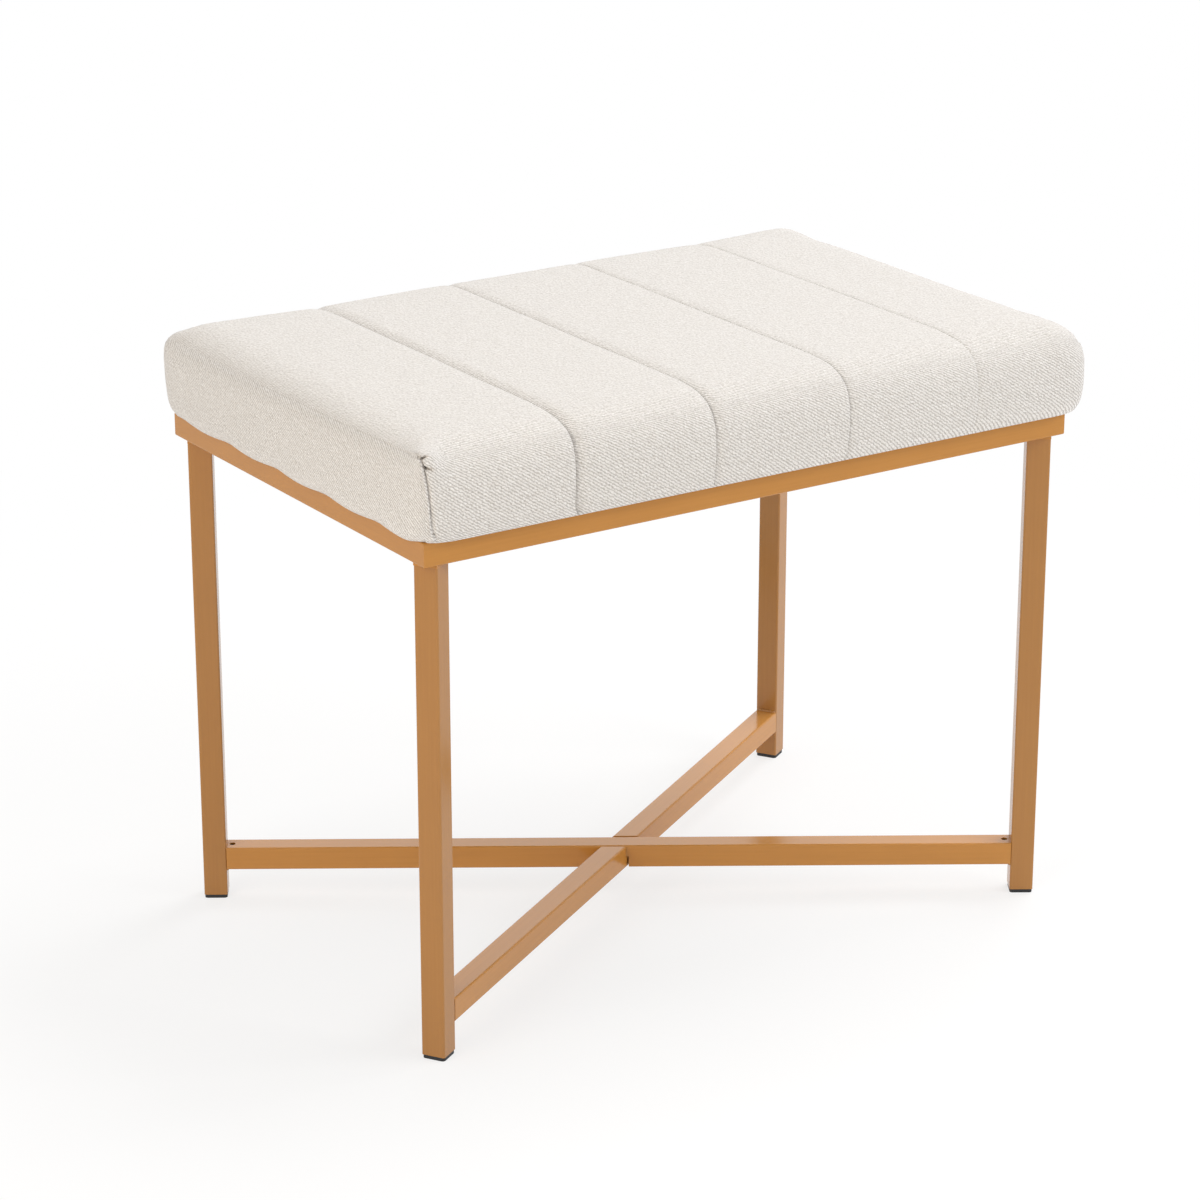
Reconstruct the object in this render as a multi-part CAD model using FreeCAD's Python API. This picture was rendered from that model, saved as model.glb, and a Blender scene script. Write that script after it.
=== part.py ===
import FreeCAD, Part
import math
import os

# Upholstered bench: a channel-sewn seat on a frame of square steel tube.
# The legs are turned to the diagonals of the seat and two half-lapped stretchers
# cross between them near the floor.
# Millimetres, +Z up, +X along the seat, +Y to the back, origin on the floor
# under the middle of the seat.

V = FreeCAD.Vector
ORIGIN = V(0, 0, 0)
X_AXIS = V(1, 0, 0)
Y_AXIS = V(0, 1, 0)
Z_AXIS = V(0, 0, 1)

# Square tube of the rails, legs and stretchers
TUBE = 19.0
TUBE_WALL = 1.2
TUBE_CORNER = 1.5           # outer corner radius

# Rail frame, over its outer faces
RAIL_LENGTH = 585.0
RAIL_DEPTH = 381.0
RAIL_TOP = 410.0            # above the floor

# Legs and stretchers
LEG_INSET = 14.5            # leg centre in from the outer faces of the rails
STRETCHER_HEIGHT = 25.0     # floor to the underside
LAP_CLEARANCE = 1.5         # room beside a stretcher in the notch of the other
VENT_HOLE = 5.0             # in the top wall of the upper stretcher, beside each leg
VENT_FROM_LEG = 4.5         # leg to the centre of the hole

# Foot cap: a flange under the leg and a ribbed plug inside it
FOOT_FLANGE = 3.0
FOOT_SETBACK = 0.4          # flange edge in from the face of the leg
FOOT_CORNER = 2.5
FOOT_PLUG = 15.0
FOOT_PLUG_WALL = 2.0
FOOT_RIB = 2.0              # height of one rib, and of the step between ribs
FOOT_RIB_RELIEF = 0.8       # plug face in from the rib edge
FOOT_FIT = 0.15             # rib edge to the inside of the leg

# Plate on each leg, bolted up to a gusset in the corner of the rail frame
LEG_PLATE = 2.5
GUSSET = 3.0
GUSSET_SIDE = 50.0          # along each rail
GUSSET_TIP = 9.0            # blunt end against the rail
BOLT = 6.0
BOLT_HEAD = 10.5
BOLT_HEAD_HEIGHT = 3.3
BOLT_END = 1.5              # end of the bolt past the nut
BOLT_HOLE_ROOM = 0.3        # round the bolt in its holes
WASHER = 12.0
WASHER_THICKNESS = 1.6
NUT_FLATS = 10.0
NUT_HEIGHT = 5.0
NUT_ROOM = 1.7              # from the corner of the nut to the rail beside it
THREAD_ROOM = 0.1           # round a bolt in its nut and a screw in its hole

# Seat cushion, over the cover
SEAT_OVERHANG = 12.5        # past the outer faces of the rails
SEAT_HEIGHT = 73.0          # rail top to the highest point
EDGE_RADIUS = 24.0          # top edges
CORNER_RADIUS = 20.0        # upright corners
CROWN_RISE = 5.0            # of the top, front to back
END_RISE = 2.0              # of the top, end to end
TUCK = 8.0                  # lower edge drawn in from the widest part of the side
TUCK_HEIGHT = 26.0          # from the lower edge up to the widest part
CHANNELS = 5
SEAM_DEPTH = 3.0            # seam below the crown of the channels beside it
SEAM_SHIFT = 9.0            # seams off the middle of the seat, to the right
COVER = 1.2                 # thickness of the cloth
COVER_MARGIN = 40.0         # cloth turned under, from the lower edge inwards

# Inside of the cushion
BOARD = 12.0
BOARD_CORNER = 16.0
BOARD_EASE = 0.5            # board edge to the cover at a seam
FOAM_OVERHANG = 4.0         # foam past the edge of the board
FOAM_EDGE = 16.0            # rounding of its top edges
WADDING = 0.8               # over the foam, at the lowest part of a seam

# Dust cover and the staples that hold it and the turned-under cloth
DUST_COVER = 0.4
DUST_COVER_ROOM = 1.5       # to the inner faces of the rails
DUST_COVER_CORNER = 8.0
STAPLE_PITCH = 75.0
STAPLE_FROM_EDGE = 8.0      # in from the edge of the dust cover
STAPLE_CROWN = 10.0
STAPLE_WIRE = 0.7
STAPLE_DEPTH = 6.0          # of the legs in the board
STAPLE_ROOM = 0.1           # round the legs

# Wood screws that hold the seat, put in through access holes in the rails
SCREW = 4.0
SCREW_HEAD = 8.0
SCREW_HEAD_HEIGHT = 2.6
SCREW_BITE = 8.0            # in the board, point included
SCREW_POINT = 3.0
SCREW_FROM_CORNER = 110.0   # along the long rails
SCREW_ACCESS = 10.0         # hole in the lower wall of the rail

# Sizes that follow
HALF_LENGTH = RAIL_LENGTH / 2
HALF_DEPTH = RAIL_DEPTH / 2
TUBE_BORE = TUBE - 2 * TUBE_WALL
BORE_CORNER = max(TUBE_CORNER - TUBE_WALL, 0.3)
RAIL_BOTTOM = RAIL_TOP - TUBE
RAIL_MIDDLE = RAIL_TOP - TUBE / 2
LEG_X = HALF_LENGTH - LEG_INSET
LEG_Y = HALF_DEPTH - LEG_INSET
DIAGONAL = math.degrees(math.atan2(LEG_Y, LEG_X))
LEG_TOP = RAIL_BOTTOM - LEG_PLATE
STRETCHER_LENGTH = 2 * math.hypot(LEG_X, LEG_Y) - TUBE
STRETCHER_MIDDLE = STRETCHER_HEIGHT + TUBE / 2
BOLT_HOLE = BOLT + 2 * BOLT_HOLE_ROOM
NUT_CORNERS = NUT_FLATS / math.cos(math.radians(30))
BOLT_REACH = (TUBE + NUT_ROOM + NUT_CORNERS / 2 - LEG_INSET) / math.sin(math.radians(DIAGONAL))
SEAT_TOP = RAIL_TOP + SEAT_HEIGHT
SEAT_X = HALF_LENGTH + SEAT_OVERHANG
SEAT_Y = HALF_DEPTH + SEAT_OVERHANG
BOARD_IN = TUCK + SEAM_DEPTH + COVER + BOARD_EASE
BOARD_X = SEAT_X - BOARD_IN
BOARD_Y = SEAT_Y - BOARD_IN
BOARD_BOTTOM = RAIL_TOP + COVER
BOARD_TOP = BOARD_BOTTOM + BOARD
FOAM_TOP = SEAT_TOP - CROWN_RISE - SEAM_DEPTH - COVER - WADDING
DUST_X = HALF_LENGTH - TUBE - DUST_COVER_ROOM
DUST_Y = HALF_DEPTH - TUBE - DUST_COVER_ROOM
DUST_BOTTOM = RAIL_TOP - DUST_COVER

CORNERS = {
    "front_left": (-1, -1),
    "front_right": (1, -1),
    "back_left": (-1, 1),
    "back_right": (1, 1),
}


def rounded_rectangle(width, depth, radius, z):
    """Closed wire round the Z axis at height z."""
    x = width / 2 - radius
    y = depth / 2 - radius
    arcs = []
    for quarter, (side_x, side_y) in enumerate([(1, 1), (-1, 1), (-1, -1), (1, -1)]):
        centre = V(side_x * x, side_y * y, z)
        arcs.append(Part.makeCircle(radius, centre, Z_AXIS, 90 * quarter, 90 * quarter + 90))
    edges = []
    for arc, following in zip(arcs, arcs[1:] + arcs[:1]):
        edges.append(arc)
        edges.append(Part.makeLine(arc.Vertexes[-1].Point, following.Vertexes[0].Point))
    return Part.Wire(edges)


def rounded_plate(width, depth, radius, bottom, top):
    """Upright prism on a rounded rectangle."""
    face = Part.Face(rounded_rectangle(width, depth, radius, bottom))
    return face.extrude(V(0, 0, top - bottom))


def polygon_plate(points, bottom, top):
    """Upright prism on a polygon of (x, y) points."""
    corners = [V(x, y, bottom) for x, y in points]
    return Part.Face(Part.makePolygon(corners + corners[:1])).extrude(V(0, 0, top - bottom))


def round_bar(diameter, x, y, bottom, top):
    """Upright cylinder."""
    return Part.makeCylinder(diameter / 2, top - bottom, V(x, y, bottom))


def turned_piece(outline):
    """Solid turned about the Z axis from (radius, height) points."""
    points = [V(radius, 0, height) for radius, height in outline]
    return Part.Face(Part.makePolygon(points + points[:1])).revolve(ORIGIN, Z_AXIS, 360)


def square_tube(length):
    """Hollow tube along the Z axis, from the origin up."""
    outside = rounded_plate(TUBE, TUBE, TUBE_CORNER, 0, length)
    return outside.cut(rounded_plate(TUBE_BORE, TUBE_BORE, BORE_CORNER, 0, length))


def lying_tube(length):
    """Hollow tube along the X axis, with its middle at the origin."""
    return square_tube(length).rotated(ORIGIN, Y_AXIS, 90).translated(V(-length / 2, 0, 0))


def screw_places():
    """Seat screws by rail: two in each long rail and one in each short rail."""
    along = HALF_LENGTH - SCREW_FROM_CORNER
    rail_x = HALF_LENGTH - TUBE / 2
    rail_y = HALF_DEPTH - TUBE / 2
    return {
        "front": [(-along, -rail_y), (along, -rail_y)],
        "back": [(-along, rail_y), (along, rail_y)],
        "left": [(-rail_x, 0)],
        "right": [(rail_x, 0)],
    }


def seat_rail(side):
    """Mitred rail, with the screw holes in its top wall and access holes below."""
    along_x = side in ("front", "back")
    outward = -1 if side in ("front", "left") else 1
    if along_x:
        length, across = HALF_LENGTH, outward * HALF_DEPTH
        tube = lying_tube(RAIL_LENGTH)
        tube = tube.translated(V(0, across - outward * TUBE / 2, RAIL_MIDDLE))
    else:
        length, across = HALF_DEPTH, outward * HALF_LENGTH
        tube = lying_tube(RAIL_DEPTH).rotated(ORIGIN, Z_AXIS, 90)
        tube = tube.translated(V(across - outward * TUBE / 2, 0, RAIL_MIDDLE))
    inner = across - outward * TUBE
    mitre = [(-length, across), (length, across), (length - TUBE, inner), (TUBE - length, inner)]
    if not along_x:
        mitre = [(y, x) for x, y in mitre]
    rail = tube.common(polygon_plate(mitre, RAIL_BOTTOM, RAIL_TOP))
    for x, y in screw_places()[side]:
        rail = rail.cut(round_bar(SCREW + 2 * THREAD_ROOM, x, y, RAIL_MIDDLE, RAIL_TOP))
        rail = rail.cut(round_bar(SCREW_ACCESS, x, y, RAIL_BOTTOM, RAIL_MIDDLE))
    return rail


def inward_angle(side_x, side_y):
    """Direction from a leg to the middle of the bench, in degrees from +X."""
    return math.degrees(math.atan2(-side_y * LEG_Y, -side_x * LEG_X))


def at_leg(shape, side_x, side_y):
    """Puts a piece drawn with the bench's middle towards +X at one of the legs."""
    turned = shape.rotated(ORIGIN, Z_AXIS, inward_angle(side_x, side_y))
    return turned.translated(V(side_x * LEG_X, side_y * LEG_Y, 0))


def at_bolt(shape, side_x, side_y):
    """Puts a piece drawn on the Z axis at the bolt of one of the legs."""
    return at_leg(shape.translated(V(BOLT_REACH, 0, 0)), side_x, side_y)


def gusset(side_x, side_y):
    """Plate welded into a corner of the rail frame, flush with its underside."""
    outline = [
        (0, 0),
        (GUSSET_SIDE, 0),
        (GUSSET_SIDE, GUSSET_TIP),
        (GUSSET_TIP, GUSSET_SIDE),
        (0, GUSSET_SIDE),
    ]
    corner_x = HALF_LENGTH - TUBE
    corner_y = HALF_DEPTH - TUBE
    points = [(side_x * (corner_x - x), side_y * (corner_y - y)) for x, y in outline]
    plate = polygon_plate(points, RAIL_BOTTOM, RAIL_BOTTOM + GUSSET)
    return plate.cut(at_bolt(round_bar(BOLT_HOLE, 0, 0, RAIL_BOTTOM, RAIL_TOP), side_x, side_y))


def leg():
    return square_tube(LEG_TOP - FOOT_FLANGE).translated(V(0, 0, FOOT_FLANGE))


def leg_plate():
    """Plate closing the top of a leg, with a round-ended tab under the gusset."""
    half = TUBE / 2
    plate = polygon_plate(
        [(-half, -half), (BOLT_REACH, -half), (BOLT_REACH, half), (-half, half)], LEG_TOP, RAIL_BOTTOM
    )
    plate = plate.fuse(round_bar(TUBE, BOLT_REACH, 0, LEG_TOP, RAIL_BOTTOM)).removeSplitter()
    return plate.cut(round_bar(BOLT_HOLE, BOLT_REACH, 0, LEG_TOP, RAIL_BOTTOM))


def foot_cap():
    """Flange under the leg and a hollow plug with ribs that grip the inside of the tube."""
    width = TUBE - 2 * FOOT_SETBACK
    cap = rounded_plate(width, width, FOOT_CORNER, 0, FOOT_FLANGE)
    rib = TUBE_BORE - 2 * FOOT_FIT
    plug = rib - 2 * FOOT_RIB_RELIEF
    plug_top = FOOT_FLANGE + FOOT_PLUG
    cap = cap.fuse(rounded_plate(plug, plug, FOOT_CORNER, FOOT_FLANGE, plug_top))
    rib_bottom = FOOT_FLANGE + FOOT_RIB
    while rib_bottom + FOOT_RIB <= plug_top:
        cap = cap.fuse(rounded_plate(rib, rib, FOOT_CORNER, rib_bottom, rib_bottom + FOOT_RIB))
        rib_bottom += 2 * FOOT_RIB
    hollow = plug - 2 * FOOT_PLUG_WALL
    cap = cap.removeSplitter()
    return cap.cut(rounded_plate(hollow, hollow, FOOT_CORNER / 2, FOOT_FLANGE, plug_top))


def stretcher(angle, notch_bottom, notch_top):
    """Tube between two opposite legs, notched at the middle for the other one."""
    tube = lying_tube(STRETCHER_LENGTH).rotated(ORIGIN, Z_AXIS, angle)
    tube = tube.translated(V(0, 0, STRETCHER_MIDDLE))
    width = TUBE + 2 * LAP_CLEARANCE
    length = STRETCHER_LENGTH / 2
    notch = Part.makeBox(length, width, notch_top - notch_bottom, V(-length / 2, -width / 2, notch_bottom))
    return tube.cut(notch.rotated(ORIGIN, Z_AXIS, -angle))


def vented(tube, angle):
    """A stretcher with a vent hole in its top wall at each end."""
    along = STRETCHER_LENGTH / 2 - VENT_FROM_LEG
    for x in (-along, along):
        hole = round_bar(VENT_HOLE, x, 0, STRETCHER_MIDDLE, STRETCHER_HEIGHT + TUBE)
        tube = tube.cut(hole.rotated(ORIGIN, Z_AXIS, angle))
    return tube


def leg_bolt():
    """Button-head bolt, head down, through the washer, tab, gusset and nut."""
    seat = LEG_TOP - WASHER_THICKNESS
    end = RAIL_BOTTOM + GUSSET + NUT_HEIGHT + BOLT_END
    dome = BOLT_HEAD_HEIGHT / 2
    return turned_piece([
        (0, seat - BOLT_HEAD_HEIGHT),
        (BOLT_HEAD / 3, seat - BOLT_HEAD_HEIGHT),
        (BOLT_HEAD / 2, seat - dome),
        (BOLT_HEAD / 2, seat),
        (BOLT / 2, seat),
        (BOLT / 2, end),
        (0, end),
    ])


def leg_washer():
    ring = round_bar(WASHER, 0, 0, LEG_TOP - WASHER_THICKNESS, LEG_TOP)
    return ring.cut(round_bar(BOLT_HOLE, 0, 0, LEG_TOP - WASHER_THICKNESS, LEG_TOP))


def gusset_nut():
    bottom = RAIL_BOTTOM + GUSSET
    corners = []
    for step in range(6):
        angle = math.radians(60 * step)
        corners.append((NUT_CORNERS / 2 * math.cos(angle), NUT_CORNERS / 2 * math.sin(angle)))
    block = polygon_plate(corners, bottom, bottom + NUT_HEIGHT)
    return block.cut(round_bar(BOLT + 2 * THREAD_ROOM, 0, 0, bottom, bottom + NUT_HEIGHT))


def seat_screw():
    """Wood screw, its head against the inside of the rail's top wall."""
    seat = RAIL_TOP - TUBE_WALL
    tip = BOARD_BOTTOM + SCREW_BITE
    return turned_piece([
        (0, seat - SCREW_HEAD_HEIGHT),
        (SCREW_HEAD / 3, seat - SCREW_HEAD_HEIGHT),
        (SCREW_HEAD / 2, seat - SCREW_HEAD_HEIGHT / 2),
        (SCREW_HEAD / 2, seat),
        (SCREW / 2, seat),
        (SCREW / 2, tip - SCREW_POINT),
        (0, tip),
    ])


def staple_places():
    """(x, y, turn) of each staple, evenly spaced along the four sides of the dust cover."""
    line_x = DUST_X - STAPLE_FROM_EDGE
    line_y = DUST_Y - STAPLE_FROM_EDGE
    places = []
    for half, line, turn in ((line_x, line_y, 0), (line_y, line_x, 90)):
        count = int(2 * half / STAPLE_PITCH)
        for step in range(count):
            along = (step - (count - 1) / 2) * STAPLE_PITCH
            for side in (-1, 1):
                spot = (along, side * line) if turn == 0 else (side * line, along)
                places.append((spot[0], spot[1], turn))
    return places


def staple_legs(room):
    """The two legs of a staple at the origin, or the slots for them with room round them."""
    thick = STAPLE_WIRE + 2 * room
    height = BOARD_BOTTOM + STAPLE_DEPTH + room - DUST_BOTTOM
    middle = (STAPLE_CROWN - STAPLE_WIRE) / 2
    legs = []
    for side in (-1, 1):
        start = V(side * middle - thick / 2, -thick / 2, DUST_BOTTOM)
        legs.append(Part.makeBox(thick, thick, height, start))
    return legs


def staple():
    """Flat crown against the dust cover, with two legs up into the board."""
    start = V(-STAPLE_CROWN / 2, -STAPLE_WIRE / 2, DUST_BOTTOM - STAPLE_WIRE)
    crown = Part.makeBox(STAPLE_CROWN, STAPLE_WIRE, STAPLE_WIRE, start)
    return crown.multiFuse(staple_legs(0)).removeSplitter()


def at_staples(shapes):
    """Copies of the shapes at every staple."""
    copies = []
    for x, y, turn in staple_places():
        for shape in shapes:
            copies.append(shape.rotated(ORIGIN, Z_AXIS, turn).translated(V(x, y, 0)))
    return copies


def seat_outline(half, top, rise, layer, dip, place):
    """Closed outline of the cushion in one upright plane.

    layer is the depth under the face of the cover, all round; dip is the extra depth of
    a seam, on the top and sides only. place turns (distance from the middle, height)
    into a point.
    """
    inset = layer + dip
    bottom = RAIL_TOP + layer
    edge_u = half - EDGE_RADIUS
    edge_z = top - rise - EDGE_RADIUS
    edge_radius = EDGE_RADIUS - inset
    slope = 2 * math.atan(rise / edge_u)
    tuck_radius = (TUCK ** 2 + TUCK_HEIGHT ** 2) / (2 * TUCK)
    tuck_u = half - tuck_radius
    tuck_z = RAIL_TOP + TUCK_HEIGHT
    low = -math.asin((tuck_z - bottom) / (tuck_radius - inset))
    high = math.pi / 2 - slope

    def tuck_point(angle):
        reach = tuck_radius - inset
        return tuck_u + reach * math.cos(angle), tuck_z + reach * math.sin(angle)

    def edge_point(angle):
        return edge_u + edge_radius * math.cos(angle), edge_z + edge_radius * math.sin(angle)

    side = [tuck_point(low), tuck_point(low / 2), tuck_point(0)]
    side += [edge_point(0), edge_point(high / 2), edge_point(high)]
    right = [place(u, z) for u, z in side]
    left = [place(-u, z) for u, z in side]
    crown = place(0, edge_z + edge_radius + rise)
    return Part.Wire([
        Part.Arc(right[0], right[1], right[2]).toShape(),
        Part.makeLine(right[2], right[3]),
        Part.Arc(right[3], right[4], right[5]).toShape(),
        Part.Arc(right[5], crown, left[5]).toShape(),
        Part.Arc(left[5], left[4], left[3]).toShape(),
        Part.makeLine(left[3], left[2]),
        Part.Arc(left[2], left[1], left[0]).toShape(),
        Part.makeLine(left[0], right[0]),
    ])


def channel(start, end, dips, layer):
    """One padded channel, lofted through cross-sections that dip at its seams."""
    sections = []
    for step in range(5):
        share = step / 4
        rising = max(0, 1 - 2 * share) ** 2 * dips[0]
        falling = max(0, 2 * share - 1) ** 2 * dips[1]
        x = start + (end - start) * share
        sections.append(seat_outline(
            SEAT_Y, SEAT_TOP, CROWN_RISE, layer, rising + falling, lambda u, z: V(x, u, z)
        ))
    return Part.makeLoft(sections, True, False)


def cushion_form(layer):
    """The whole cushion, layer under the face of the cover: channels cut to the ends and corners."""
    pitch = 2 * SEAT_X / CHANNELS
    borders = [SEAM_SHIFT + pitch * (step - CHANNELS / 2) for step in range(CHANNELS + 1)]
    borders[0] = -SEAT_X - COVER
    borders[-1] = SEAT_X + COVER
    channels = []
    for step in range(CHANNELS):
        left_dip = SEAM_DEPTH if step > 0 else 0
        right_dip = SEAM_DEPTH if step < CHANNELS - 1 else 0
        channels.append(channel(borders[step], borders[step + 1], (left_dip, right_dip), layer))
    form = channels[0].multiFuse(channels[1:])
    end_outline = seat_outline(
        SEAT_X, SEAT_TOP + END_RISE, END_RISE, layer, 0, lambda u, z: V(u, -SEAT_Y - COVER, z)
    )
    form = form.common(Part.Face(end_outline).extrude(V(0, 2 * (SEAT_Y + COVER), 0)))
    corners = rounded_plate(
        2 * (SEAT_X - layer), 2 * (SEAT_Y - layer), CORNER_RADIUS - layer, RAIL_TOP, SEAT_TOP + END_RISE
    )
    return form.common(corners)


def seat_board(screw_holes, staple_slots):
    board = rounded_plate(2 * BOARD_X, 2 * BOARD_Y, BOARD_CORNER, BOARD_BOTTOM, BOARD_TOP)
    return board.cut(screw_holes + staple_slots)


def seat_foam():
    """Foam block on the board, with rounded top edges."""
    width = 2 * (BOARD_X + FOAM_OVERHANG)
    depth = 2 * (BOARD_Y + FOAM_OVERHANG)
    block = rounded_plate(width, depth, BOARD_CORNER + FOAM_OVERHANG, BOARD_TOP, FOAM_TOP)
    rim = [edge for edge in block.Edges if all(abs(v.Z - FOAM_TOP) < 1e-6 for v in edge.Vertexes)]
    return block.makeFillet(FOAM_EDGE, rim)


def seat_cover(outer, inner, screw_holes, staple_slots):
    """Cloth shell, turned under the board and open in the middle below."""
    width = 2 * (SEAT_X - TUCK - COVER_MARGIN)
    depth = 2 * (SEAT_Y - TUCK - COVER_MARGIN)
    opening = rounded_plate(width, depth, CORNER_RADIUS, RAIL_TOP, BOARD_BOTTOM)
    return outer.cut(inner).cut([opening] + screw_holes + staple_slots)


def dust_cover(staple_slots):
    sheet = rounded_plate(2 * DUST_X, 2 * DUST_Y, DUST_COVER_CORNER, DUST_BOTTOM, RAIL_TOP)
    return sheet.cut(staple_slots)


def build():
    """All the pieces of the bench, by node name."""
    pieces = {}
    for side in ("front", "back", "left", "right"):
        pieces["seat_rail_" + side] = seat_rail(side)
    bolts = []
    washers = []
    nuts = []
    for name, (side_x, side_y) in CORNERS.items():
        pieces["corner_gusset_" + name] = gusset(side_x, side_y)
        pieces["leg_" + name] = at_leg(leg(), side_x, side_y)
        pieces["leg_plate_" + name] = at_leg(leg_plate(), side_x, side_y)
        pieces["foot_cap_" + name] = at_leg(foot_cap(), side_x, side_y)
        bolts.append(at_bolt(leg_bolt(), side_x, side_y))
        washers.append(at_bolt(leg_washer(), side_x, side_y))
        nuts.append(at_bolt(gusset_nut(), side_x, side_y))
    pieces["leg_bolts"] = Part.makeCompound(bolts)
    pieces["leg_washers"] = Part.makeCompound(washers)
    pieces["gusset_nuts"] = Part.makeCompound(nuts)
    stretcher_top = STRETCHER_HEIGHT + TUBE
    pieces["stretcher_upper"] = vented(stretcher(-DIAGONAL, STRETCHER_HEIGHT, STRETCHER_MIDDLE), -DIAGONAL)
    pieces["stretcher_lower"] = stretcher(DIAGONAL, STRETCHER_MIDDLE, stretcher_top)

    spots = [spot for rail in screw_places().values() for spot in rail]
    hole_top = BOARD_BOTTOM + SCREW_BITE + THREAD_ROOM
    screw_holes = [round_bar(SCREW + 2 * THREAD_ROOM, x, y, RAIL_TOP, hole_top) for x, y in spots]
    staple_slots = at_staples(staple_legs(STAPLE_ROOM))
    inside = cushion_form(COVER)
    board_block = seat_board([], [])
    pieces["seat_board"] = seat_board(screw_holes, staple_slots)
    pieces["seat_foam"] = seat_foam()
    pieces["seat_wadding"] = inside.cut([board_block, pieces["seat_foam"]])
    pieces["seat_cover"] = seat_cover(cushion_form(0), inside, screw_holes, staple_slots)
    pieces["dust_cover"] = dust_cover(staple_slots)
    pieces["cover_staples"] = Part.makeCompound(at_staples([staple()]))
    pieces["seat_screws"] = Part.makeCompound([seat_screw().translated(V(x, y, 0)) for x, y in spots])
    return pieces


os.makedirs("parts", exist_ok=True)
for node, shape in build().items():
    shape.exportStep("parts/" + node + ".step")
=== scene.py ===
import math

import bmesh
import bpy
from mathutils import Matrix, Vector, noise


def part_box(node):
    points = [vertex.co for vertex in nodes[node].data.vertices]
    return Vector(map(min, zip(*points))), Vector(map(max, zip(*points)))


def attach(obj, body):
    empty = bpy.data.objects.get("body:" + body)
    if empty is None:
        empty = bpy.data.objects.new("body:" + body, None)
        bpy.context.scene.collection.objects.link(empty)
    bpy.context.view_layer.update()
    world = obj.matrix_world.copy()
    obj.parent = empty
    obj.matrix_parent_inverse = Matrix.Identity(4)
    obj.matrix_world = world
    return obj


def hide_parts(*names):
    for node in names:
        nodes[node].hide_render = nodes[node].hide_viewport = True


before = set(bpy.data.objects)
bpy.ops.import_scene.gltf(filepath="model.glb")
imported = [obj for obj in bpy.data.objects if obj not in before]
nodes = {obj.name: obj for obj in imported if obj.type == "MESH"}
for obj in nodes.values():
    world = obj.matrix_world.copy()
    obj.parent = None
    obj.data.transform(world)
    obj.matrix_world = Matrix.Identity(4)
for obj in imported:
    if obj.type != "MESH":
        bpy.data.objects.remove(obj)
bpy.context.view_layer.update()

scene = bpy.context.scene
MM = 0.001
TOLERANCE = 0.01 * MM

# Camera, at the photograph's distance and height, without shift
CAMERA_PLACE = (-1.592, -2.398, 1.286)
CAMERA_YAW = 33.27
CAMERA_PITCH = 19.74
CAMERA_LENS = 115.0

# Studio
FLOOR_SIZE = 30.0
FLOOR_WHITE = 0.92
FLOOR_GLOW_NEAR = 0.72
FLOOR_GLOW_FROM = 0.35
FLOOR_GLOW_TO = 1.3
SURROUND_LIGHT = 0.53

# Softboxes: place and size in metres, power in watts and colour
SOFTBOXES = {
    "right_softbox": ((3.0, 0.6, 5.4), 3.0, 168, (1, 1, 1)),
    "left_softbox": ((-2.0, -0.7, 1.05), 1.2, 11.5, (1.0, 0.87, 0.70)),
    "upper_left_softbox": ((-2.2, -0.5, 2.6), 1.6, 8, (1.0, 0.96, 0.91)),
    "front_softbox": ((1.75, -1.8, 2.1), 1.4, 29, (1, 1, 1)),
    "back_softbox": ((1.6, 2.5, 1.3), 2.2, 10, (1, 1, 1)),
}

# Seat cushion, from the box of its cover
COVER_LOW, COVER_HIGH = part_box("seat_cover")
HALF_LENGTH = (COVER_HIGH.x - COVER_LOW.x) / 2
HALF_DEPTH = (COVER_HIGH.y - COVER_LOW.y) / 2
SEAT_BOTTOM = COVER_LOW.z
SEAT_TOP = COVER_HIGH.z
CHANNELS = 5
SEAM_SHIFT = 7 * MM
CHANNEL = 2 * HALF_LENGTH / CHANNELS
SEAMS = [-HALF_LENGTH + i * CHANNEL + SEAM_SHIFT for i in range(1, CHANNELS)]
SEAT_SHIFT = 6 * MM
EDGE_RADII = Vector((24, 28, 28)) * MM
END_ROLL_LEFT = 20 * MM
END_ROLL_RIGHT = 28 * MM
CORNER_SHARPNESS = 2.2
CORNER_SHARPNESS_UPPER_LEFT = 3.6
CORNER_EAR_FRONT = 4.0
CORNER_EAR_BACK = 1.0
CORNER_LIFT = 1.2
CORNER_PULL = Vector((-1, 2.5, 2)) * MM
CORNER_PULL_POWER = 6
SPREAD = Vector((4, 2, 0)) * MM
CROWN = 3.5 * MM
BLOCK = Vector((HALF_LENGTH, HALF_DEPTH, SEAT_TOP - CROWN)) + SPREAD
TUCK = 8 * MM
TUCK_HEIGHT = 22 * MM
END_TUCK = 7 * MM
END_TUCK_HEIGHT = 12 * MM
HANG = 0.5 * MM
END_SLOPE = 5 * MM
END_SLOPE_LENGTH = 40 * MM
CLOTH_PITCH = 12 * MM
EDGE_LOOPS = (1.2 * MM, 3 * MM, 6 * MM)
SEAM_LOOPS = (1 * MM, 2.4 * MM, 5 * MM, 9 * MM)

# Swelling of the cushion
SWELL_FRAMES = 20
SWELL_PRESSURE = 12.0
SWELL_CAP = 3 * MM
SWELL_QUALITY = 6
HELD_HEIGHT = 0.1 * MM

# Sewn seams between the channels: a lip on the left, a sharp crease,
# and a flank that rises to the right
SEAM_PULLS = (1.0, 0.68, 0.46, 0.3)
CREASE_DEPTH = 2.3 * MM
CREASE_WIDTH = 0.9 * MM
LIP_DROP = 1.8 * MM
LIP_LENGTH = 3 * MM
FLANK_DROPS = (5.0 * MM, 3.2 * MM, 2.2 * MM, 1.2 * MM)
FLANK_LENGTHS = (11.5 * MM, 9.5 * MM, 8.5 * MM, 7.5 * MM)
SEAM_FOOT_SHARE = 0.34
FLANK_BACK_SHARE = 0.5
FLANK_FOOT_SHARE = 0.7
SEAM_BACK_FADE = 70 * MM
SEAM_REACH = 30 * MM
FACING_DOWN = -0.5

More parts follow.
